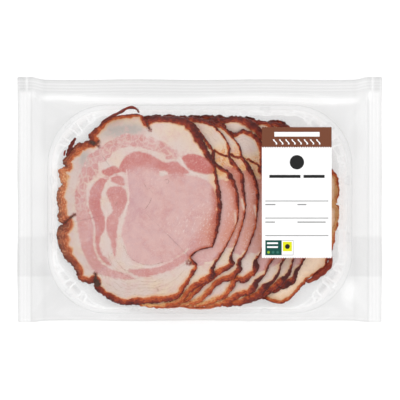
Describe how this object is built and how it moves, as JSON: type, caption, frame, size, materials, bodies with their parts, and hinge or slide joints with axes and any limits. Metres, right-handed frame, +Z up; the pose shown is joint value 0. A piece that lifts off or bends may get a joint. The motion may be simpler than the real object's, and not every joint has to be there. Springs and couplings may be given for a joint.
{
  "type": "sealed pack of sliced roast pork",
  "caption": "Clear sealed bag round a shallow tray of fanned, sliced rolled roast pork, with a paper label strip stuck on the front film.",
  "frame": {"origin": "on the surface the pack rests on, under the middle of the bag's outline", "axes": "+X along the pack's longest side towards the label, +Y towards the strip seal along the top of the front, +Z up through the front film"},
  "size_m": [0.2554, 0.1714, 0.0185],
  "materials": {
    "film": "thin clear glossy film, crimped at its seals",
    "paper": "smooth white label paper with printed fields of colour",
    "tray": "thin clear thermoformed sheet, glossy",
    "meat": "moist cooked pork: pale pink lean, cream fat and a red-brown roasted crust"
  },
  "bodies": {
    "root": {"bag": "film", "label": "paper"}
  },
  "joints": []
}
